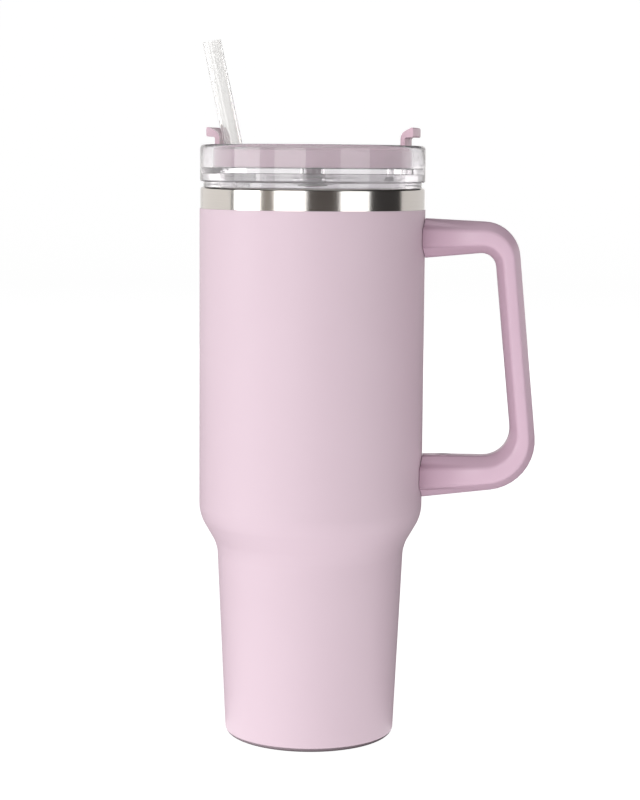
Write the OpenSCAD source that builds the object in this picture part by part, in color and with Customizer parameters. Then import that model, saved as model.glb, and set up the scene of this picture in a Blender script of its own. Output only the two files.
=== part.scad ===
// Insulated tumbler with a side handle, a press-in clear lid, a turning cover and a drinking straw.
// The origin is on the body's axis at the surface it stands on, +Z up, with the handle along +X.

/* [Body] */
// Outer radius of the upper body
body_r = 49.5; // [48.5:0.1:50.5]
// Height of the steel lip above the surface
lip_z = 244; // [236:1:252]
// Height of the bare steel neck below the lip
neck_h = 9.4; // [6:0.2:12]
// Outer radius of the lower body at the surface
base_r = 37.6; // [36.5:0.1:38.5]
// Outer radius of the lower body under the shoulder
taper_r = 41.5; // [41:0.1:42.5]
// Height of the shoulder's lower bend
shoulder_low_z = 85.7; // [82:0.1:88]
// Height of the shoulder's upper bend
shoulder_high_z = 99.6; // [97:0.1:103]
// Thickness of the sheet steel
steel_t = 0.6; // [0.5:0.05:0.8]
// Width of the evacuated gap between the two walls
vacuum_gap = 3; // [2.6:0.1:3.2]

/* [Handle] */
// Half the handle's width across the grip
grip_half_w = 11; // [10:0.5:12]
// Distance from the body's axis to the outer edge of the upper bend
reach_top = 89.8; // [88:0.2:93]
// Distance from the body's axis to the outer edge of the lower bend
reach_bottom = 101; // [98:0.2:103]

/* [Lid] */
// Outer radius of the clear lid
lid_r = 49.3; // [49:0.1:50]
// Inner radius of the recess that holds the turning cover
recess_r = 44.1; // [44:0.05:44.6]
// Height of the lid's rim above the steel lip
rim_h = 18.3; // [17:0.1:19]
// Height of the deck's upper face above the steel lip
deck_h = 8.2; // [8:0.1:8.6]

/* [Turning cover] */
// Angle of the finger tabs from the handle, with the straw in place
tab_angle = -10.5; // [-12.5:1:-8.5]
// Width of each finger tab, as an angle at the lid's axis
tab_span = 20; // [14:2:22]
// How far the cover turns to open the sip port
cover_turn = 40; // [36:1:42]

/* [Straw] */
// Outer radius of the straw
straw_r = 4; // [3.8:0.05:4.1]
// Lean of the straw from upright
straw_lean = 12; // [11:0.5:12.5]
// Length of the straw above the lid's deck
straw_above = 57; // [40:1:90]

/* [Hidden] */
$fn = 96;
eps = 0.5; // how far a cutter runs past the face that it cuts

// Body
neck_z = lip_z - neck_h;
neck_r = body_r - 0.35;
foot_in_r = 31.4;
foot_bend = 3;
shoulder_bend = 16;
liner_t = 0.5;
liner_floor_z = 9;
liner_bend = 6;
lip_bend = 1.2;
shell_corners = [
    [foot_in_r, 0],
    [base_r, 0],
    [taper_r, shoulder_low_z],
    [body_r, shoulder_high_z],
    [body_r, neck_z]
];
shell_bends = [0, foot_bend, shoulder_bend, shoulder_bend, 0];
liner_in = steel_t + vacuum_gap + liner_t; // from the shell's outside to the drink's side
mouth_r = body_r - liner_in;
foil_t = 0.25;
foil_gap = 0.1;

// Underside
base_z = 1.6;
dimple_r = 6;
dimple_rise = 1.2;
port_r = 0.8;
cover_disc_r = 24;
cover_disc_t = 0.45;
getter_x = 17;
getter_r = 3.6;
getter_h = 2.2;

// Handle: the outer and inner edges of its outline in the XZ plane, top arm first
arm_start = 44;
handle_outer = [[arm_start, 231.2], [reach_top, 229.1], [reach_bottom, 114.3], [arm_start, 107.6]];
handle_inner = [[arm_start, 213.3], [80.1, 216.7], [89.2, 126.8], [arm_start, 126.8]];
outer_bends = [0, 16, 22, 0];
inner_bends = [0, 6.5, 12, 0];
outer_facet = 0.27; // how far the outer facets reach in, as a share of the section
inner_facet = 0.29;
outer_flat = 4; // half the width of the flat along the outer edge
inner_flat = 3.8;
handle_gap = 0.3;
screw_x = 59;
bracket_z = [222.5, 118.2];
face_depth = [7.8, 8.6]; // from each bracket's middle to the finger side of its arm
tongue_half_t = 2;
tongue_half_w = 6;
tongue_end = 65;
pad_half_h = 5.4;
pad_half_w = 6.9;
pad_t = 2.4;
pocket_gap = 0.3;
counterbore_r = 3.5;
counterbore_h = 3.4;
screw_r = 1.45;
screw_hole_r = 1.8;

// Lid
rim_z = lip_z + rim_h;
deck_z = lip_z + deck_h;
deck_t = 2;
deck_low_z = deck_z - deck_t;
flange_z = lip_z + 2.4;
seat_r = lid_r - 1.5;
seat_z = lip_z + 0.1;
skirt_r = mouth_r - 0.8;
skirt_in_r = mouth_r - 4.4;
skirt_low_z = lip_z - 12;
groove_r = mouth_r - 2.6;
groove_low_z = lip_z - 7.5;
groove_h = 4;
boss_r = 8.7;
boss_low_z = deck_low_z - 2.6;
pivot_r = 3.65;
pivot_play = 0.08;
port_x = -32.7; // the straw's axis at the middle of the deck
port_z = deck_z - deck_t / 2;
port_hole_r = 6.8;
port_sink_r = 8.2;
port_sink_h = 0.8;
sip_r = 35.5;
sip_half_w = 3.6;
sip_span = 24;
vent_r = 1.1;
vent_x = 24;
seal_gap = 0.05;

// Turning cover
cover_r = 43.4;
cover_t = 2.4;
cover_gap = 0.2;
cover_low_z = deck_z + cover_gap;
floor_t = 2;
floor_z = cover_low_z + floor_t;
wall_z = rim_z - 2.5;
tab_low_z = rim_z + 3.5;
tab_top_z = rim_z + 8.1;
tab_tip_r = 47;
tab_in_r = cover_r - cover_t + 0.2;
tab_out_r = cover_r - 0.2;
tab_bend = 3.8;
slot_half_w = 4.9;
pad_rise = 1;
pad_margin = 1;
stem_low_z = boss_low_z - 1.6;
clip_t = 0.9;
clip_r = 6.6;
clip_groove_r = 2.6;
ring_r = 0.62;
ring_z = deck_low_z - 1.2;

// Straw
straw_t = 1;
straw_floor_gap = 0.3;
straw_below = (port_z - liner_floor_z - straw_floor_gap - straw_r * sin(straw_lean)) / cos(straw_lean);
seal_play = 0.2;

// A direction of length 1
function unit(v) = v / norm(v);
// The normal on the left of the stretch from a to b
function left(a, b) = let (d = unit(b - a)) [-d[1], d[0]];
// The turn from the stretch a to b into the stretch b to c: over 0 to the left
function turn(a, b, c) = let (u = b - a, v = c - b) u[0] * v[1] - u[1] * v[0];
// A point turned about the origin
function turned(p, angle) = [p[0] * cos(angle) - p[1] * sin(angle), p[0] * sin(angle) + p[1] * cos(angle)];
function reversed(list) = [for (i = [len(list) - 1:-1:0]) list[i]];
// The radius at height z on the straight line through p and q
function radius_at(p, q, z) = p[0] + (q[0] - p[0]) * (z - p[1]) / (q[1] - p[1]);

// A path moved to its left by d, with its corners kept sharp
function shifted(path, d) = [
    for (i = [0:len(path) - 1])
        i == 0 ? path[0] + d * left(path[0], path[1])
        : i == len(path) - 1 ? path[i] + d * left(path[i - 1], path[i])
        : let (m = left(path[i - 1], path[i]), n = left(path[i], path[i + 1]))
            path[i] + d * (m + n) / (1 + m * n)
];

// The bend radii that keep a shifted path parallel to the first one
function shifted_bends(path, bends, d) = [
    for (i = [0:len(path) - 1])
        bends[i] == 0 ? 0 : bends[i] - d * sign(turn(path[i - 1], path[i], path[i + 1]))
];

// A path whose corners are arcs of the given radii, each of n steps
function rounded(path, bends, n = 8) = [
    for (i = [0:len(path) - 1])
        if (bends[i] == 0) path[i]
        else
            let (
                u = unit(path[i - 1] - path[i]),
                v = unit(path[i + 1] - path[i]),
                half = acos(u * v) / 2,
                centre = path[i] + unit(u + v) * bends[i] / sin(half),
                from = path[i] + u * bends[i] / tan(half) - centre,
                side = sign(turn(path[i - 1], path[i], path[i + 1]))
            )
            for (k = [0:n]) centre + turned(from, side * (180 - 2 * half) * k / n)
];

// A sheet turned about the Z axis: the path is one face and d is the thickness to its left
module turned_sheet(path, bends, d) {
    rotate_extrude()
        polygon(concat(
            rounded(path, bends),
            reversed(rounded(shifted(path, d), shifted_bends(path, bends, d)))
        ));
}

// A slot that follows a circle about the Z axis, with round ends
module arc_slot(radius, half_w, from, to, low, high) {
    rotate([0, 0, from])
        rotate_extrude(angle = to - from)
            translate([radius - half_w, low])
                square([2 * half_w, high - low]);
    for (angle = [from, to])
        rotate([0, 0, angle])
            translate([radius, 0, low])
                cylinder(r = half_w, h = high - low);
}

module ring(outer, inner, low, high) {
    rotate_extrude()
        translate([inner, low])
            square([outer - inner, high - low]);
}

// ---- Body ----

module outer_shell() {
    color("thistle")
        turned_sheet(shell_corners, shell_bends, steel_t);
}

// The liner's drink side, from the middle of the floor up and over the lip to the bottom of the neck
function liner_path() =
    let (side = shifted(shell_corners, liner_in)) [
        [0, liner_floor_z],
        [radius_at(side[1], side[2], liner_floor_z), liner_floor_z],
        side[2],
        side[3],
        [mouth_r, lip_z],
        [neck_r, lip_z],
        [neck_r, neck_z]
    ];
liner_bends = [0, liner_bend, shoulder_bend + liner_in, shoulder_bend - liner_in, lip_bend, lip_bend, 0];

module inner_liner() {
    color("silver")
        turned_sheet(liner_path(), liner_bends, -liner_t);
}

// The foil lies just outside the liner, from above its floor's bend to below the lip
module copper_foil() {
    side = shifted(shell_corners, steel_t + vacuum_gap - foil_gap);
    low_z = liner_floor_z + liner_bend;
    path = [[radius_at(side[1], side[2], low_z), low_z], side[2], side[3], [side[3][0], neck_z - 8]];
    bends = shifted_bends(shell_corners, shell_bends, steel_t + vacuum_gap - foil_gap);
    color("peru")
        turned_sheet(path, [0, bends[2], bends[3], 0], -foil_t);
}

// A shallow pan welded into the foot, with a dimple round the port
module outer_base() {
    color("silver")
        difference() {
            union() {
                ring(foot_in_r, foot_in_r - steel_t, 0.2, base_z + steel_t);
                ring(foot_in_r - steel_t / 2, dimple_r, base_z, base_z + steel_t);
                ring(dimple_r + steel_t, dimple_r, base_z, base_z + dimple_rise + steel_t);
                translate([0, 0, base_z + dimple_rise])
                    cylinder(r = dimple_r + steel_t / 2, h = steel_t);
            }
            translate([0, 0, base_z])
                cylinder(r = port_r, h = dimple_rise + steel_t + eps);
        }
}

module base_cover() {
    color("gainsboro")
        translate([0, 0, base_z - cover_disc_t])
            cylinder(r = cover_disc_r, h = cover_disc_t);
}

// A glass bead that closes the port from below
module vacuum_seal() {
    color("darkslategray")
        union() {
            translate([0, 0, base_z + dimple_rise - 0.7])
                cylinder(r = 2.2, h = 0.7);
            translate([0, 0, base_z + dimple_rise - 0.2])
                cylinder(r = port_r - 0.05, h = steel_t);
        }
}

module getter() {
    color("dimgray")
        translate([getter_x, 0, base_z + steel_t + 0.3])
            cylinder(r = getter_r, h = getter_h);
}

module getter_cup() {
    color("lightsteelblue")
        translate([getter_x, 0, base_z + steel_t])
            difference() {
                cylinder(r = getter_r + 0.4, h = getter_h);
                translate([0, 0, 0.3])
                    cylinder(r = getter_r + 0.05, h = getter_h);
            }
}

// ---- Handle ----

// The eight corners of the grip's section between an inner and an outer point of its outline
function grip_section(inner, outer) =
    let (
        along = unit(outer - inner),
        width = norm(outer - inner),
        corners = [
            [0, -inner_flat], [inner_facet * width, -grip_half_w],
            [(1 - outer_facet) * width, -grip_half_w], [width, -outer_flat],
            [width, outer_flat], [(1 - outer_facet) * width, grip_half_w],
            [inner_facet * width, grip_half_w], [0, inner_flat]
        ]
    )
    [for (c = corners) [inner[0] + along[0] * c[0], c[1], inner[1] + along[1] * c[0]]];

module grip() {
    outer = rounded(handle_outer, outer_bends, 10);
    inner = rounded(handle_inner, inner_bends, 10);
    count = len(outer);
    points = [for (i = [0:count - 1]) each grip_section(inner[i], outer[i])];
    sides = [
        for (i = [0:count - 2], k = [0:7])
            let (a = i * 8 + k, b = i * 8 + (k + 1) % 8)
            each [[a, b, a + 8], [b, b + 8, a + 8]]
    ];
    first = [for (k = [7:-1:0]) k];
    last = [for (k = [0:7]) (count - 1) * 8 + k];
    polyhedron(points, concat([first, last], sides), convexity = 6);
}

// Puts its children at both brackets, with +Z towards the finger side of the arm
module at_brackets() {
    for (i = [0, 1])
        translate([screw_x, 0, bracket_z[i]])
            rotate([i == 0 ? 180 : 0, 0, 0])
                children(i);
}

module screw_cutter(depth) {
    cylinder(r = screw_hole_r, h = depth);
    translate([0, 0, depth - counterbore_h])
        cylinder(r = counterbore_r, h = counterbore_h + 2);
}

module handle() {
    color("plum")
        difference() {
            grip();
            translate([0, 0, handle_outer[3][1] - 5])
                cylinder(r = body_r + handle_gap, h = 140);
            for (z = bracket_z) {
                half_t = tongue_half_t + pocket_gap;
                half_w = tongue_half_w + pocket_gap;
                translate([arm_start, -half_w, z - half_t])
                    cube([tongue_end + 0.5 - arm_start, 2 * half_w, 2 * half_t]);
                translate([arm_start, -pad_half_w - pocket_gap, z - pad_half_h - pocket_gap])
                    cube([body_r + pad_t + 0.5 - arm_start, 2 * (pad_half_w + pocket_gap),
                          2 * (pad_half_h + pocket_gap)]);
            }
            at_brackets() {
                screw_cutter(face_depth[0]);
                screw_cutter(face_depth[1]);
            }
        }
}

// A pad that is welded to the shell, and a tongue that the handle slides over
module bracket(z) {
    color("darkgray")
        difference() {
            union() {
                translate([arm_start, -pad_half_w, z - pad_half_h])
                    cube([body_r + pad_t - arm_start, 2 * pad_half_w, 2 * pad_half_h]);
                translate([body_r, -tongue_half_w, z - tongue_half_t])
                    cube([tongue_end - body_r, 2 * tongue_half_w, 2 * tongue_half_t]);
            }
            translate([0, 0, z - pad_half_h - 1])
                cylinder(r = body_r, h = 2 * pad_half_h + 2);
            translate([screw_x, 0, z - tongue_half_t - eps])
                cylinder(r = screw_r + 0.1, h = 2 * tongue_half_t + 2 * eps);
        }
}

module bracket_upper() {
    bracket(bracket_z[0]);
}

module bracket_lower() {
    bracket(bracket_z[1]);
}

module screw(depth) {
    difference() {
        union() {
            translate([0, 0, -tongue_half_t])
                cylinder(r = screw_r, h = depth - counterbore_h + tongue_half_t + 0.2);
            translate([0, 0, depth - counterbore_h])
                cylinder(r = 3.1, h = 1.5);
        }
        translate([0, 0, depth - counterbore_h + 0.7])
            cylinder(r = 1.3, h = 1.5, $fn = 6);
    }
}

module handle_screws() {
    color("slategray")
        at_brackets() {
            screw(face_depth[0]);
            screw(face_depth[1]);
        }
}

module plug(depth) {
    translate([0, 0, depth - 1.5])
        cylinder(r = counterbore_r - 0.1, h = 1.3);
}

module screw_plugs() {
    color("orchid")
        at_brackets() {
            plug(face_depth[0]);
            plug(face_depth[1]);
        }
}

// ---- Lid ----

// Half of the lid's section, from the middle of the deck round the rim and the skirt to the boss
lid_corners = [
    [0, deck_z],
    [recess_r, deck_z],
    [recess_r, rim_z],
    [lid_r, rim_z],
    [lid_r, flange_z],
    [seat_r, flange_z],
    [seat_r, seat_z],
    [skirt_r, seat_z],
    [skirt_r, groove_low_z + groove_h],
    [groove_r, groove_low_z + groove_h],
    [groove_r, groove_low_z],
    [skirt_r, groove_low_z],
    [skirt_r, skirt_low_z],
    [skirt_in_r, skirt_low_z],
    [skirt_in_r, deck_low_z],
    [boss_r, deck_low_z],
    [boss_r, boss_low_z],
    [0, boss_low_z]
];
lid_bends = [0, 0.4, 0.7, 1.7, 0.6, 0.4, 0, 0, 0, 0, 0, 0, 0.8, 0.8, 0.4, 0.4, 0.4, 0];

module lid_body() {
    color("lightcyan")
        difference() {
            rotate_extrude()
                polygon(rounded(lid_corners, lid_bends, 5));
            translate([0, 0, boss_low_z - eps])
                cylinder(r = pivot_r + pivot_play, h = deck_z - boss_low_z + 2 * eps);
            translate([port_x, 0, deck_low_z - eps])
                cylinder(r = port_hole_r, h = deck_t + 2 * eps);
            translate([port_x, 0, deck_z - port_sink_h])
                cylinder(r = port_sink_r, h = port_sink_h + eps);
            arc_slot(sip_r, sip_half_w, -sip_span / 2, sip_span / 2, deck_low_z - eps, deck_z + eps);
            translate([vent_x, 0, deck_low_z - eps])
                cylinder(r = vent_r, h = deck_t + 2 * eps);
        }
}

// A silicone ring in the skirt's groove, with two lips that press on the mouth
module lid_gasket() {
    low = groove_low_z + seal_gap;
    high = groove_low_z + groove_h - seal_gap;
    tip = mouth_r - 0.15;
    color("whitesmoke")
        rotate_extrude()
            polygon([
                [groove_r + seal_gap, low], [skirt_r - 0.2, low], [tip, low + 0.7],
                [skirt_r - 0.1, low + 1.7], [skirt_r - 0.1, high - 1.7], [tip, high - 0.7],
                [skirt_r - 0.2, high], [groove_r + seal_gap, high]
            ]);
}

// A silicone collar that grips the straw in the deck's round port
module straw_seal() {
    bead_h = 1.2;
    color("ghostwhite")
        difference() {
            translate([port_x, 0, 0])
                union() {
                    translate([0, 0, deck_low_z - bead_h])
                        cylinder(r = port_hole_r - seal_gap, h = deck_t + bead_h - 0.1);
                    translate([0, 0, deck_z - port_sink_h + seal_gap])
                        cylinder(r = port_sink_r - 0.1, h = port_sink_h - 0.1);
                    translate([0, 0, deck_low_z - bead_h])
                        cylinder(r = port_hole_r + 0.7, h = bead_h - seal_gap);
                }
            translate([port_x, 0, port_z])
                rotate([0, -straw_lean, 0])
                    cylinder(r = straw_r + seal_play, h = 16, center = true);
        }
}

// ---- Turning cover ----

// Half of the cover's section: a floor with a low wall round it
cover_corners = [
    [0, cover_low_z],
    [cover_r, cover_low_z],
    [cover_r, wall_z],
    [cover_r - cover_t, wall_z],
    [cover_r - cover_t, floor_z],
    [0, floor_z]
];
cover_bends = [0, 0.6, 0.9, 0.9, 0.8, 0];

// A finger tab's section: it rises from the wall and bends out over the lid's rim
tab_corners = [
    [tab_in_r, floor_z - 0.5],
    [tab_out_r, floor_z - 0.5],
    [tab_out_r, tab_low_z],
    [tab_tip_r, tab_low_z],
    [tab_tip_r, tab_top_z],
    [tab_in_r, tab_top_z - 3]
];
tab_bends = [0, 0, 1, 0.7, 0.7, tab_bend];

module finger_tab(middle) {
    rotate([0, 0, middle - tab_span / 2])
        rotate_extrude(angle = tab_span)
            polygon(rounded(concat(tab_corners, [tab_corners[0]]), concat(tab_bends, [0]), 6));
}

module pivot_stem() {
    difference() {
        translate([0, 0, stem_low_z])
            cylinder(r = pivot_r, h = floor_z - stem_low_z - 0.5);
        ring(pivot_r + 1, clip_groove_r, boss_low_z - clip_t - 0.15, boss_low_z - 0.05);
        ring(pivot_r + 1, pivot_r - 2 * ring_r + 0.05, ring_z - ring_r - 0.05, ring_z + ring_r + 0.05);
    }
}

module rotating_cover() {
    color("pink")
        difference() {
            union() {
                rotate_extrude()
                    polygon(rounded(cover_corners, cover_bends, 5));
                finger_tab(tab_angle);
                finger_tab(tab_angle + 180);
                pivot_stem();
            }
            // the straw's slot reaches back to where the straw stands once the cover has turned
            arc_slot(-port_x + 0.4, slot_half_w, 179 - cover_turn, 181, cover_low_z - eps, floor_z + eps);
            arc_slot(sip_r, sip_half_w, -cover_turn - sip_span / 2, -cover_turn + sip_span / 2,
                     cover_low_z - eps, floor_z + eps);
            rotate([0, 0, -cover_turn])
                translate([vent_x, 0, cover_low_z - eps])
                    cylinder(r = vent_r, h = floor_t + 2 * eps);
            arc_slot(sip_r, sip_half_w + pad_margin, -sip_span / 2, sip_span / 2,
                     cover_low_z - eps, cover_low_z + pad_rise);
        }
}

// A silicone pad under the cover that closes the sip port
module sip_seal() {
    color("ghostwhite")
        arc_slot(sip_r, sip_half_w + pad_margin - 0.1, -sip_span / 2, sip_span / 2,
                 deck_z + 0.05, cover_low_z + pad_rise - seal_gap);
}

module pivot_o_ring() {
    color("dimgray")
        rotate_extrude()
            translate([pivot_r + 0.05 - ring_r, ring_z])
                circle(r = ring_r, $fn = 24);
}

// A split ring that snaps into the stem under the boss
module cover_clip() {
    color("ivory")
        difference() {
            ring(clip_r, clip_groove_r + 0.05, boss_low_z - clip_t - 0.1, boss_low_z - 0.1);
            translate([0, -1.2, boss_low_z - clip_t - eps])
                cube([clip_r + 1, 2.4, clip_t + 2 * eps]);
        }
}

// ---- Straw ----

module straw() {
    color("aliceblue")
        translate([port_x, 0, port_z])
            rotate([0, -straw_lean, 0])
                translate([0, 0, -straw_below])
                    difference() {
                        cylinder(r = straw_r, h = straw_below + straw_above);
                        translate([0, 0, -eps])
                            cylinder(r = straw_r - straw_t, h = straw_below + straw_above + 2 * eps);
                    }
}

outer_shell();
inner_liner();
copper_foil();
outer_base();
base_cover();
vacuum_seal();
getter();
getter_cup();
handle();
bracket_upper();
bracket_lower();
handle_screws();
screw_plugs();
lid_body();
lid_gasket();
straw_seal();
rotating_cover();
sip_seal();
pivot_o_ring();
cover_clip();
straw();
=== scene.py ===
import math

import bmesh
import bpy
from mathutils import Matrix, Vector


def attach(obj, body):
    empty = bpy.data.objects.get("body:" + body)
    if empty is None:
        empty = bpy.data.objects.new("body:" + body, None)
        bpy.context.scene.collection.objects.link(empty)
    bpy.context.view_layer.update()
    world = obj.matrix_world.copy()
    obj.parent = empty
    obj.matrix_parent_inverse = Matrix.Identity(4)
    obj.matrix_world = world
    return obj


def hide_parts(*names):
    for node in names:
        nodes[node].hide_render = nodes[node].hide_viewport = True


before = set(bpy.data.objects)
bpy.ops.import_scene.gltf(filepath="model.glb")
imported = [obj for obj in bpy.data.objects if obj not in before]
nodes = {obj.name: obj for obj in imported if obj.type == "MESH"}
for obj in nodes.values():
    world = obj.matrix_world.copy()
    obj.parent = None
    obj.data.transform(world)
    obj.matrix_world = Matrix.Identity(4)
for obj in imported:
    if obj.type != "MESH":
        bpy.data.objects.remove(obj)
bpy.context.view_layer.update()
scene = bpy.context.scene
scene.view_settings.view_transform = "Standard"
mm = 0.001
print("frame loaded:", len(nodes), "nodes")


class Wire:
    # a socket that can be used in plain expressions
    def __init__(self, finish, socket):
        self.finish = finish
        self.socket = socket

    def math(self, operation, other):
        return self.finish.node("ShaderNodeMath", {"operation": operation}, {0: self, 1: other})

    def __add__(self, other):
        return self.math("ADD", other)

    def __mul__(self, other):
        return self.math("MULTIPLY", other)

    __radd__ = __add__
    __rmul__ = __mul__


class Finish:
    # a Principled material, built up node by node
    def __init__(self, name, constants=None):
        self.material = bpy.data.materials.new(name)
        self.material.use_nodes = True
        self.tree = self.material.node_tree
        self.shader = self.tree.nodes["Principled BSDF"]
        self.place = self.node("ShaderNodeTexCoord", output="Object")
        for socket, value in (constants or {}).items():
            self.put(socket, value)

    def node(self, kind, settings=None, inputs=None, output=0):
        made = self.tree.nodes.new(kind)
        for key, value in (settings or {}).items():
            setattr(made, key, value)
        for key, value in (inputs or {}).items():
            self.feed(made.inputs[key], value)
        return Wire(self, made.outputs[output])

    def feed(self, socket, value):
        if isinstance(value, Wire):
            self.tree.links.new(value.socket, socket)
        else:
            socket.default_value = value

    def put(self, name, value):
        self.feed(self.shader.inputs[name], value)

    def stretched(self, scale):
        return self.node("ShaderNodeMapping", {}, {"Vector": self.place, "Scale": scale})

    def noise(self, scale, detail=3.0, where=None, rough=0.5):
        return self.node("ShaderNodeTexNoise", {}, {
            "Vector": where or self.place, "Scale": scale, "Detail": detail, "Roughness": rough,
        }, "Fac")

    def between(self, mask, low, high):
        return self.node("ShaderNodeMapRange", {}, {"Value": mask, "To Min": low, "To Max": high})

    def blend(self, mask, first, second):
        colours = {0: mask, 6: (*first, 1), 7: (*second, 1)}  # a Mix node's factor and its two colours
        return self.node("ShaderNodeMix", {"data_type": "RGBA"}, colours, 2)

    def relief(self, height, depth, strength):
        inputs = {"Height": height, "Distance": depth, "Strength": strength}
        return self.node("ShaderNodeBump", {}, inputs, "Normal")


# In the looks, a noise is given by its scale and detail, a depth is in metres, and "roughness" is a range.
coatLook = {
    "shade": (0.632, 0.500, 0.566), "deeper": (0.605, 0.475, 0.540), "roughness": (0.44, 0.54),
    "clouds": (28, 4), "peel": (650, 2), "grain": (2600, 3), "grainShare": 0.6, "depth": 0.00003, "strength": 0.5,
}


def powderCoat():
    look = coatLook
    made = Finish("powderCoat")
    clouds = made.noise(*look["clouds"])
    made.put("Base Color", made.blend(clouds, look["shade"], look["deeper"]))
    peel = made.noise(*look["peel"])
    grain = made.noise(*look["grain"])
    share = look["grainShare"]
    made.put("Roughness", made.between(peel, *look["roughness"]))
    made.put("Normal", made.relief(grain * share + peel * (1 - share), look["depth"], look["strength"]))
    return made.material


steelLook = {
    "shade": (0.78, 0.75, 0.72), "deeper": (0.66, 0.63, 0.60), "depth": 0.000012, "strength": 0.6,
    "lines": (1, 3), "linesRough": 0.6, "linesShare": 0.6, "patches": (40, 3),
    "inside": 0.0474, "insideMore": 0.22,  # closer than this to the axis the steel isn't polished
    "kinds": {
        "brushed": {"along": (14, 14, 5200), "roughness": (0.10, 0.17)},  # short in z alone: lines round the axis
        "turned": {"along": (900, 900, 900), "roughness": (0.22, 0.38)},
    },
}


def bareSteel(kind):
    look = steelLook
    made = Finish(kind + "Steel", {"Metallic": 1.0})
    along = made.stretched(look["kinds"][kind]["along"])
    lines = made.noise(*look["lines"], along, look["linesRough"])
    patches = made.noise(*look["patches"])
    made.put("Base Color", made.blend(lines, look["deeper"], look["shade"]))
    spread = made.node("ShaderNodeVectorMath", {"operation": "LENGTH"}, {0: made.stretched((1, 1, 0))}, "Value")
    inside = spread.math("LESS_THAN", look["inside"])
    share = look["linesShare"]
    polish = made.between(lines * share + patches * (1 - share), *look["kinds"][kind]["roughness"])
    made.put("Roughness", polish + inside * look["insideMore"])
    made.put("Normal", made.relief(lines, look["depth"], look["strength"]))
    return made.material


plasticLook = {
    "handle": {"shade": (0.650, 0.462, 0.562), "deeper": (0.612, 0.430, 0.530), "roughness": (0.26, 0.36)},
    "cover": {"shade": (0.675, 0.480, 0.560), "deeper": (0.640, 0.448, 0.530), "roughness": (0.18, 0.28)},
    "flow": (18, 40, 9), "flowNoise": (1, 3), "grain": (1800, 2), "grainShare": 0.5, "depth": 0.00001,
    "strength": 0.4,
}


def mouldedPlastic(name):
    look = plasticLook | plasticLook[name]
    made = Finish(name + "Plastic")
    flow = made.noise(*look["flowNoise"], made.stretched(look["flow"]))
    grain = made.noise(*look["grain"])
    share = look["grainShare"]
    made.put("Base Color", made.blend(flow, look["shade"], look["deeper"]))
    made.put("Roughness", made.between(grain * share + flow * (1 - share), *look["roughness"]))
    made.put("Normal", made.relief(grain, look["depth"], look["strength"]))
    return made.material


clearLook = {
    "lid": {
        "shade": (0.900, 0.878, 0.898), "deeper": (0.872, 0.850, 0.870), "clear": 0.86, "roughness": (0.02, 0.07),
    },
    "straw": {
        "shade": (0.958, 0.954, 0.946), "deeper": (0.938, 0.934, 0.926), "clear": 0.85, "roughness": (0.05, 0.12),
    },
    "bending": 1.49, "flow": (30, 30, 90), "flowNoise": (1, 2), "depth": 0.00004, "strength": 0.25,
}


def clearPlastic(name):
    look = clearLook | clearLook[name]
    made = Finish(name + "Plastic", {"Transmission Weight": look["clear"], "IOR": look["bending"]})
    flow = made.noise(*look["flowNoise"], made.stretched(look["flow"]))
    made.put("Base Color", made.blend(flow, look["shade"], look["deeper"]))
    made.put("Roughness", made.between(flow, *look["roughness"]))
    made.put("Normal", made.relief(flow, look["depth"], look["strength"]))
    return made.material


# the finishes of the small inner parts; where there is no grain, the clouds lift the surface too
cloudedLooks = {
    "silicone": {
        "shade": (0.78, 0.78, 0.79), "deeper": (0.68, 0.68, 0.70), "roughness": (0.38, 0.55), "clouds": (160, 3),
        "grain": (2200, 2), "depth": 0.00002, "strength": 0.4,
        "constants": {
            "Specular IOR Level": 0.4, "Subsurface Weight": 0.15, "Subsurface Radius": (0.002, 0.002, 0.002),
        },
    },
    "copperFoil": {
        "shade": (0.90, 0.46, 0.28), "deeper": (0.72, 0.33, 0.19), "roughness": (0.18, 0.40), "clouds": (120, 6),
        "cloudsRough": 0.65, "depth": 0.0006, "strength": 0.7, "constants": {"Metallic": 1.0},
    },
    "fusedGlass": {
        "shade": (0.03, 0.05, 0.05), "deeper": (0.08, 0.11, 0.11), "roughness": (0.05, 0.20), "clouds": (400, 4),
        "depth": 0.00005, "strength": 0.4,
    },
    "pressedPowder": {
        "shade": (0.06, 0.06, 0.065), "deeper": (0.16, 0.16, 0.17), "roughness": (0.7, 0.95), "clouds": (1500, 5),
        "depth": 0.00015, "strength": 0.8,
    },
    "naturalPlastic": {
        "shade": (0.74, 0.73, 0.70), "deeper": (0.66, 0.65, 0.62), "roughness": (0.32, 0.48), "clouds": (300, 3),
        "grain": (1500, 2), "depth": 0.00002, "strength": 0.4,
    },
}


def cloudedFinish(name):
    look = {"cloudsRough": 0.5, "constants": {}} | cloudedLooks[name]
    made = Finish(name, look["constants"])
    clouds = made.noise(*look["clouds"], None, look["cloudsRough"])
    grain = made.noise(*look["grain"]) if "grain" in look else clouds
    made.put("Base Color", made.blend(clouds, look["shade"], look["deeper"]))
    made.put("Roughness", made.between(clouds, *look["roughness"]))
    made.put("Normal", made.relief(grain, look["depth"], look["strength"]))
    return made.material


coat = powderCoat()
brushedSteel = bareSteel("brushed")
turnedSteel = bareSteel("turned")
handlePlastic = mouldedPlastic("handle")
coverPlastic = mouldedPlastic("cover")
lidPlastic = clearPlastic("lid")
strawPlastic = clearPlastic("straw")
silicone = cloudedFinish("silicone")
foil = cloudedFinish("copperFoil")
bead = cloudedFinish("fusedGlass")
pellet = cloudedFinish("pressedPowder")
clipPlastic = cloudedFinish("naturalPlastic")
print("materials made")


# shared by the shapes: degrees below which an edge shades smooth, and metres below which points are one
shading = {"smoothBelow": 30}
merging = {"doubles": 1e-6, "degenerate": 1e-7}


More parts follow.
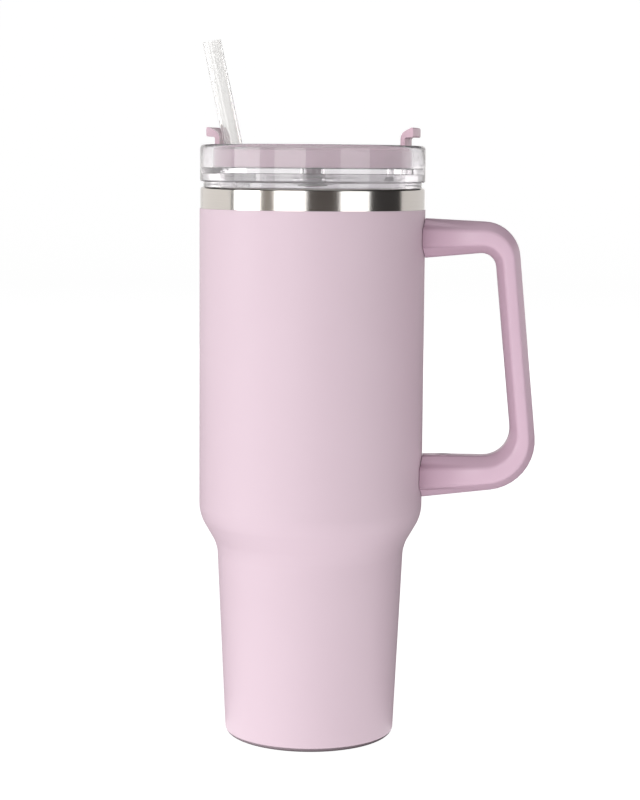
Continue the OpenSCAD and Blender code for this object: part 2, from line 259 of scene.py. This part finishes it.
def finished(shape, name, body, material):
    mesh = bpy.data.meshes.new(name)
    shape.to_mesh(mesh)
    shape.free()
    piece = bpy.data.objects.new(name, mesh)
    scene.collection.objects.link(piece)
    mesh.materials.append(material)
    mesh.shade_smooth()
    mesh.set_sharp_from_angle(angle=math.radians(shading["smoothBelow"]))
    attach(piece, body)
    return piece


def bentPath(shape, corners, bendSteps, closed):
    # a chain of edges in the xz plane, from (radius, height, bend) in millimetres
    dots = [shape.verts.new((r * mm, 0, z * mm)) for r, z, bend in corners]
    for first, second in zip(dots, dots[1:]):
        shape.edges.new((first, second))
    if closed:
        shape.edges.new((dots[-1], dots[0]))
    flat = [Vector((r, z)) for r, z, bend in corners]
    count = len(flat)
    for i, (dot, (r, z, bend)) in enumerate(zip(dots, corners)):
        if bend == 0:
            continue
        before = (flat[i - 1] - flat[i]).normalized()
        after = (flat[(i + 1) % count] - flat[i]).normalized()
        reach = bend / math.tan(before.angle(after) / 2)
        bmesh.ops.bevel(shape, geom=[dot], offset=reach * mm, offset_type="OFFSET", segments=bendSteps,
                        profile=0.5, affect="VERTICES", material=-1, clamp_overlap=False)


def spunShape(corners, steps, bendSteps, closed=True):
    shape = bmesh.new()
    bentPath(shape, corners, bendSteps, closed)
    bmesh.ops.spin(shape, geom=shape.verts[:] + shape.edges[:], cent=(0, 0, 0), axis=(0, 0, 1), dvec=(0, 0, 0),
                   angle=math.tau, steps=steps, use_merge=True, use_duplicate=False)
    bmesh.ops.remove_doubles(shape, verts=shape.verts[:], dist=merging["doubles"])
    bmesh.ops.dissolve_degenerate(shape, edges=shape.edges[:], dist=merging["degenerate"])
    bmesh.ops.recalc_face_normals(shape, faces=shape.faces[:])
    return shape


bodyForm = {  # millimetres
    "footIn": 31.4, "footOut": 37.6, "footBend": 3.0, "taperTop": 41.5, "shoulderLow": 85.7,
    "shoulderHigh": 99.6, "bend": 16.0, "radius": 49.5, "neckLow": 234.6, "coatEdge": 0.25, "sheet": 0.6,
    "innerRise": 0.2,  # how far the shoulder's inner corners stand above the outer ones
    "steps": 192, "bendSteps": 12,
}


def coatedBody():
    form = bodyForm
    sheet, rise, bend = form["sheet"], form["innerRise"], form["bend"]
    corners = [
        (form["footIn"], 0, 0), (form["footOut"], 0, form["footBend"]),
        (form["taperTop"], form["shoulderLow"], bend), (form["radius"], form["shoulderHigh"], bend),
        (form["radius"], form["neckLow"], form["coatEdge"]), (form["radius"] - sheet, form["neckLow"], 0),
        (form["radius"] - sheet, form["shoulderHigh"] + rise, bend - sheet),
        (form["taperTop"] - sheet, form["shoulderLow"] + rise, bend + sheet),
        (form["footOut"] - sheet, sheet, form["footBend"] - sheet), (form["footIn"], sheet, 0),
    ]
    shape = spunShape(corners, form["steps"], form["bendSteps"])
    piece = finished(shape, "coatedBody", "cup", coat)
    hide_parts("outer_shell")
    print("coated body made")


linerForm = {  # millimetres
    "wall": 4.1, "floor": 9, "footBend": 6, "lip": 244, "lipBend": 1.2,  # wall: from the coat to the drink
    "neckIn": 0.35, "sheet": 0.5, "steps": 256, "bendSteps": 10,  # neckIn: the bare neck stands in from the coat
}


def insetCorner(before, corner, after, wall):
    # where the inner face of a wall turns, between two straight stretches
    runs = [(Vector(end) - Vector(start)).normalized() for start, end in ((before, corner), (corner, after))]
    first, second = (Vector((-run.y, run.x)) for run in runs)
    return Vector(corner) + (first + second) * wall / (1 + first.dot(second))


def steelLiner():
    # the drink's side of the sheet, over the lip and down the outside of the neck
    form, body = linerForm, bodyForm
    wall, neck = form["wall"], body["radius"] - form["neckIn"]
    foot = (body["footOut"], 0)
    taperTop = (body["taperTop"], body["shoulderLow"])
    shoulder = (body["radius"], body["shoulderHigh"])
    neckLow = (body["radius"], body["neckLow"])
    narrow = insetCorner(foot, taperTop, shoulder, wall)
    wide = insetCorner(taperTop, shoulder, neckLow, wall)
    lean = (taperTop[0] - foot[0]) / (taperTop[1] - foot[1])
    floorReach = narrow.x - (narrow.y - form["floor"]) * lean
    corners = [
        (0, form["floor"], 0), (floorReach, form["floor"], form["footBend"]),
        (*narrow, body["bend"] + wall), (*wide, body["bend"] - wall), (wide.x, form["lip"], form["lipBend"]),
        (neck, form["lip"], form["lipBend"]), (neck, body["neckLow"], 0),
    ]
    shape = spunShape(corners, form["steps"], form["bendSteps"], False)
    floor = min(shape.faces, key=lambda f: f.calc_center_median().xy.length)
    if floor.normal.z < 0:
        bmesh.ops.reverse_faces(shape, faces=shape.faces[:])
    bmesh.ops.solidify(shape, geom=shape.verts[:] + shape.edges[:] + shape.faces[:], thickness=form["sheet"] * mm)
    piece = finished(shape, "steelLiner", "cup", brushedSteel)
    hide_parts("inner_liner")
    print("steel liner made")


handleForm = {
    "easedFrom": 18, "easedTo": 75,  # degrees between the faces that meet at an edge
    "bend": 1.1, "steps": 4, "flatWithin": 1,  # bend in millimetres, flatWithin in degrees
}


def softHandle():
    # the moulded handle, with every sharp edge eased
    form = handleForm
    shape = bmesh.new()
    shape.from_mesh(nodes["handle"].data)
    bmesh.ops.remove_doubles(shape, verts=shape.verts[:], dist=merging["doubles"])
    bmesh.ops.dissolve_limit(shape, angle_limit=math.radians(form["flatWithin"]), verts=shape.verts[:],
                             edges=shape.edges[:])
    low, high = math.radians(form["easedFrom"]), math.radians(form["easedTo"])
    sharp = [e for e in shape.edges if low < e.calc_face_angle(0) < high]
    bmesh.ops.bevel(shape, geom=sharp, offset=form["bend"] * mm, offset_type="OFFSET", segments=form["steps"],
                    profile=0.5, affect="EDGES", material=-1, clamp_overlap=False)
    bmesh.ops.triangulate(shape, faces=[f for f in shape.faces if len(f.verts) > 4])
    bmesh.ops.recalc_face_normals(shape, faces=shape.faces[:])
    piece = finished(shape, "softHandle", "cup", handlePlastic)
    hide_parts("handle")
    print("handle made")


def carved(shape, cutters):
    # the shape with every cutter taken out of it
    blocks = []
    for part in [shape, *cutters]:
        mesh = bpy.data.meshes.new("block")
        part.to_mesh(mesh)
        part.free()
        blocks.append(bpy.data.objects.new("block", mesh))
        scene.collection.objects.link(blocks[-1])
    for cutter in blocks[1:]:
        cut = blocks[0].modifiers.new("cut", "BOOLEAN")
        cut.operation, cut.solver, cut.object = "DIFFERENCE", "EXACT", cutter
    ready = blocks[0].evaluated_get(bpy.context.evaluated_depsgraph_get())
    result = bmesh.new()
    result.from_mesh(ready.to_mesh())
    for block in blocks:
        bpy.data.meshes.remove(block.data)
    return result


def drill(radius, x, low, high, steps=96):
    shape = bmesh.new()
    middle = Matrix.Translation((x * mm, 0, (low + high) / 2 * mm))
    bmesh.ops.create_cone(shape, cap_ends=True, segments=steps, radius1=radius * mm, radius2=radius * mm,
                          depth=(high - low) * mm, matrix=middle)
    return shape


def arcMill(radius, halfWidth, span, low, high, steps=24):
    # a cutter for a slot that follows a circle about the axis, with round ends
    shape = bmesh.new()
    edge = []
    half = math.radians(span / 2)
    for side in (1, -1):
        # the long side, then the round end that leads to the other side
        for i in range(steps + 1):
            turn = side * half * (2 * i / steps - 1)
            edge.append(Vector((math.cos(turn), math.sin(turn))) * (radius + side * halfWidth))
        outward = Vector((math.cos(half), side * math.sin(half)))
        onward = Vector((-math.sin(half), side * math.cos(half)))
        for i in range(1, steps):
            turn = math.pi * i / steps
            across = outward * (radius + side * halfWidth * math.cos(turn))
            edge.append(across + onward * halfWidth * math.sin(turn))
    face = shape.faces.new([shape.verts.new((x * mm, y * mm, low * mm)) for x, y in edge])
    grown = bmesh.ops.extrude_face_region(shape, geom=[face])
    raised = [v for v in grown["geom"] if isinstance(v, bmesh.types.BMVert)]
    bmesh.ops.translate(shape, verts=raised, vec=(0, 0, (high - low) * mm))
    bmesh.ops.recalc_face_normals(shape, faces=shape.faces[:])
    return shape


lidForm = {  # millimetres
    "recess": 44.1, "rim": 49.3, "rimTop": 262.3, "deckTop": 252.2, "deckLow": 250.2, "flange": 246.4,
    "seat": 47.8, "seatLow": 244.1, "skirt": 44.6, "skirtIn": 41.0, "skirtLow": 232, "groove": 42.8,
    "grooveLow": 236.5, "grooveHigh": 240.5, "boss": 8.7, "bossLow": 247.6, "pivot": 3.73,
    "port": 6.8, "portSink": 8.2, "sinkDepth": 0.8, "portX": -32.7, "sip": 35.5, "sipHalf": 3.6, "sipSpan": 24,
    "vent": 1.1, "ventX": 24, "past": 1,  # how far a cutter runs past the deck
    "innerBend": 0.4, "rimInBend": 0.7, "rimOutBend": 1.7, "flangeBend": 0.6, "skirtBend": 0.8,
    "steps": 192, "bendSteps": 6,
}


def clearLid():
    form = lidForm
    top, low, past = form["deckTop"], form["deckLow"], form["past"]
    soft, skirtBend = form["innerBend"], form["skirtBend"]
    corners = [
        (form["pivot"], top, 0), (form["recess"], top, soft), (form["recess"], form["rimTop"], form["rimInBend"]),
        (form["rim"], form["rimTop"], form["rimOutBend"]), (form["rim"], form["flange"], form["flangeBend"]),
        (form["seat"], form["flange"], soft), (form["seat"], form["seatLow"], 0),
        (form["skirt"], form["seatLow"], 0), (form["skirt"], form["grooveHigh"], 0),
        (form["groove"], form["grooveHigh"], 0), (form["groove"], form["grooveLow"], 0),
        (form["skirt"], form["grooveLow"], 0), (form["skirt"], form["skirtLow"], skirtBend),
        (form["skirtIn"], form["skirtLow"], skirtBend), (form["skirtIn"], low, soft), (form["boss"], low, soft),
        (form["boss"], form["bossLow"], soft), (form["pivot"], form["bossLow"], 0),
    ]
    shape = carved(spunShape(corners, form["steps"], form["bendSteps"]), [
        drill(form["port"], form["portX"], low - past, top + past),
        drill(form["portSink"], form["portX"], top - form["sinkDepth"], top + past),
        arcMill(form["sip"], form["sipHalf"], form["sipSpan"], low - past, top + past),
        drill(form["vent"], form["ventX"], low - past, top + past),
    ])
    piece = finished(shape, "clearLid", "lid", lidPlastic)
    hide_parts("lid_body")
    print("clear lid made")


coatedBody()
steelLiner()
softHandle()
clearLid()

cadFinishes = {
    "outer_shell": coat, "inner_liner": brushedSteel, "copper_foil": foil, "outer_base": turnedSteel,
    "base_cover": turnedSteel, "vacuum_seal": bead, "getter": pellet, "getter_cup": turnedSteel,
    "handle": handlePlastic, "bracket_upper": turnedSteel, "bracket_lower": turnedSteel,
    "handle_screws": turnedSteel, "screw_plugs": handlePlastic, "lid_body": lidPlastic, "lid_gasket": silicone,
    "straw_seal": silicone, "rotating_cover": coverPlastic, "sip_seal": silicone, "pivot_o_ring": silicone,
    "cover_clip": clipPlastic, "straw": strawPlastic,
}
for name, material in cadFinishes.items():
    slots = nodes[name].data.materials
    slots.clear()
    slots.append(material)
print("frame's own nodes finished")


# Upright panels on a ring round the object, which show in its steel: degrees from the camera's side and wide,
# metres high, radiance and tint. An edgeOnly panel shows in grazing reflections, not through the clear plastic.
panels = {
    "leftEdge": {"turn": -121.5, "width": 63, "high": 0.8, "power": 0.88, "tint": (1, 0.97, 0.94)},
    "leftOuter": {"turn": -69.5, "width": 31, "high": 0.8, "power": 3.6, "tint": (1, 1, 1)},
    "leftGap": {"turn": -46, "width": 15.5, "high": 0.8, "power": 0.28, "tint": (1, 0.90, 0.80)},
    "leftInner": {"turn": -22.6, "width": 31.3, "high": 0.8, "power": 2.8, "tint": (1, 1, 1)},
    "front": {"turn": 10.2, "width": 34, "high": 0.7, "power": 0.075, "tint": (1, 0.85, 0.78)},
    "right": {"turn": 43, "width": 31, "high": 0.6, "power": 2.1, "tint": (1, 1, 1)},
    "rightFlag": {"turn": 79.8, "width": 42, "high": 0.7, "power": 0.025, "tint": (1, 0.9, 0.9)},
    "rightEdge": {"turn": 129, "width": 56, "high": 0.7, "power": 0.74, "tint": (1, 0.97, 0.95)},
    "behind": {"turn": 182, "width": 49, "high": 0.8, "power": 0.82, "tint": (1, 0.98, 0.96), "edgeOnly": True},
}
# wide soft lights that fill the matt surfaces and don't show in the steel
fills = {
    "fillLeft": {"turn": -85, "width": 70, "high": 2.6, "power": 1.3, "tint": (1, 1, 1)},
    "fillFront": {"turn": -10, "width": 70, "high": 2.6, "power": 0.78, "tint": (1, 1, 1)},
    "fillBack": {"turn": 170, "width": 80, "high": 2.6, "power": 0.8, "tint": (1, 1, 1)},
    "fillRight": {"turn": 80, "width": 70, "high": 2.6, "power": 0.36, "tint": (1, 0.97, 0.98)},
}
panelRing = 1.9
# light that the floor throws back, and a lamp above
floorGlow = {"place": (0.15, -0.75, 0.002), "size": 1.5, "power": 1.1, "tint": (1, 0.98, 0.99)}
overhead = {"place": (0, -0.2, 2.2), "size": 3.0, "power": 0.42, "tint": (1, 1, 1)}
surround = 0.02  # the world's strength
view = {  # degrees, metres, and millimetres for the lens and the sensor
    "orbit": 4.0, "distance": 0.88467, "height": 0.2533, "pitch": 6.652, "yaw": -0.254, "roll": -0.439,
    "lens": 90.29, "sensor": 36, "clip": (0.01, 50),
}


def areaLight(name, width, height, look, place, towards):
    data = bpy.data.lights.new(name, "AREA")
    data.shape = "RECTANGLE"
    data.size, data.size_y = width, height
    data.energy = look["power"] * math.pi * width * height  # a lamp's watts for that radiance
    data.color = look["tint"]
    lamp = bpy.data.objects.new(name, data)
    scene.collection.objects.link(lamp)
    lamp.location = place
    lamp.rotation_euler = (Vector(towards) - Vector(place)).to_track_quat("-Z", "Y").to_euler()
    lamp.visible_camera = False
    return lamp


def studio():
    for name, panel in (panels | fills).items():
        angle = math.radians(panel["turn"] + view["orbit"])
        middle = panel["high"] / 2
        place = (panelRing * math.sin(angle), -panelRing * math.cos(angle), middle)
        width = 2 * panelRing * math.tan(math.radians(panel["width"] / 2))
        lamp = areaLight(name, width, panel["high"], panel, place, (0, 0, middle))
        lamp.visible_glossy = name in panels
        lamp.visible_transmission = name in panels and not panel.get("edgeOnly", False)
    areaLight("overhead", overhead["size"], overhead["size"], overhead, overhead["place"], (0, 0, 0))
    x, y, z = floorGlow["place"]
    glow = areaLight("floorGlow", floorGlow["size"], floorGlow["size"], floorGlow, (x, y, z), (x, y, z + 1))
    glow.visible_transmission = False
    world = bpy.data.worlds.new("studioWorld")
    scene.world = world
    world.use_nodes = True
    background = world.node_tree.nodes["Background"]
    background.inputs["Color"].default_value = (1, 1, 1, 1)
    background.inputs["Strength"].default_value = surround


backdropForm = {  # metres
    "radius": 5.0, "bend": 1.5, "height": 6.0, "steps": 96, "bendSteps": 16,
    "seenFrom": (0, 0, 2),  # a point that every face looks at
}
backdropLook = {
    "Base Color": (0.22, 0.22, 0.22, 1), "Roughness": 0.9, "Specular IOR Level": 0.1,
    "Emission Color": (1, 1, 1, 1), "Emission Strength": 0.97,
}


def backdrop():
    # a round floor that sweeps up into a wall on every side
    form = backdropForm
    radius, bend, height = (form[key] / mm for key in ("radius", "bend", "height"))
    shape = spunShape([(0, 0, 0), (radius, 0, bend), (radius, height, 0)], form["steps"], form["bendSteps"], False)
    inside = Vector(form["seenFrom"])
    turnedAway = [f for f in shape.faces if f.normal.dot(inside - f.calc_center_median()) < 0]
    bmesh.ops.reverse_faces(shape, faces=turnedAway)
    mesh = bpy.data.meshes.new("backdrop")
    shape.to_mesh(mesh)
    shape.free()
    mesh.shade_smooth()
    mesh.materials.append(Finish("paleFloor", backdropLook).material)
    floor = bpy.data.objects.new("backdrop", mesh)
    scene.collection.objects.link(floor)
    floor.visible_glossy = False  # the panels alone light the object and show in its steel
    floor.visible_diffuse = False


def camera():
    data = bpy.data.cameras.new("camera")
    data.lens = view["lens"]
    data.sensor_width = view["sensor"]
    data.clip_start, data.clip_end = view["clip"]
    eye = bpy.data.objects.new("camera", data)
    scene.collection.objects.link(eye)
    pitch, yaw, roll = (math.radians(view[key]) for key in ("pitch", "yaw", "roll"))
    ahead = Vector((-math.sin(yaw) * math.cos(pitch), math.cos(yaw) * math.cos(pitch), -math.sin(pitch)))
    right = ahead.cross(Vector((0, 0, 1))).normalized()
    up = right.cross(ahead)
    across = right * math.cos(roll) - up * math.sin(roll)
    above = right * math.sin(roll) + up * math.cos(roll)
    turn = Matrix((across, above, -ahead)).transposed().to_4x4()
    place = Matrix.Translation((0, -view["distance"], view["height"])) @ turn
    eye.matrix_world = Matrix.Rotation(math.radians(view["orbit"]), 4, "Z") @ place
    scene.camera = eye


studio()
backdrop()
camera()
print("studio and camera made")
